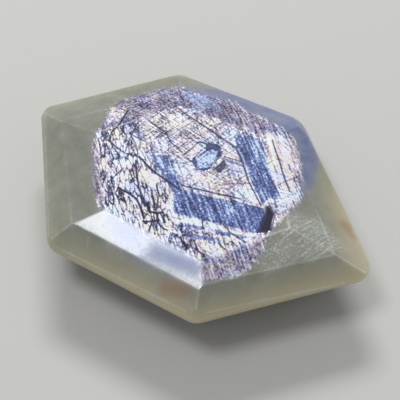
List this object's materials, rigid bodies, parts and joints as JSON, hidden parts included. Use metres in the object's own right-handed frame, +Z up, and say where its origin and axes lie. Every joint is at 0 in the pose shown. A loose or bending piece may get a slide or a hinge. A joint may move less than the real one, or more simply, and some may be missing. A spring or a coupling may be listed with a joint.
{
  "type": "bicolor sapphire",
  "caption": "Flat six-sided step-cut sapphire with a milky olive-grey rim and a blue-violet, silky growth-zoned core; it lies on its flat base.",
  "frame": {"origin": "on the surface the stone lies on, below the middle of its outline", "axes": "+Z straight up out of the table, the shortest extent; +X along the longest extent, towards the blunt right-hand side; +Y towards the back corner"},
  "size_m": [0.0166, 0.0152, 0.0043],
  "materials": {
    "milky_sapphire": "polished milky crystal, olive-grey rim, blue-violet silky core"
  },
  "bodies": {
    "root": {"sapphire": "milky_sapphire"}
  },
  "joints": []
}
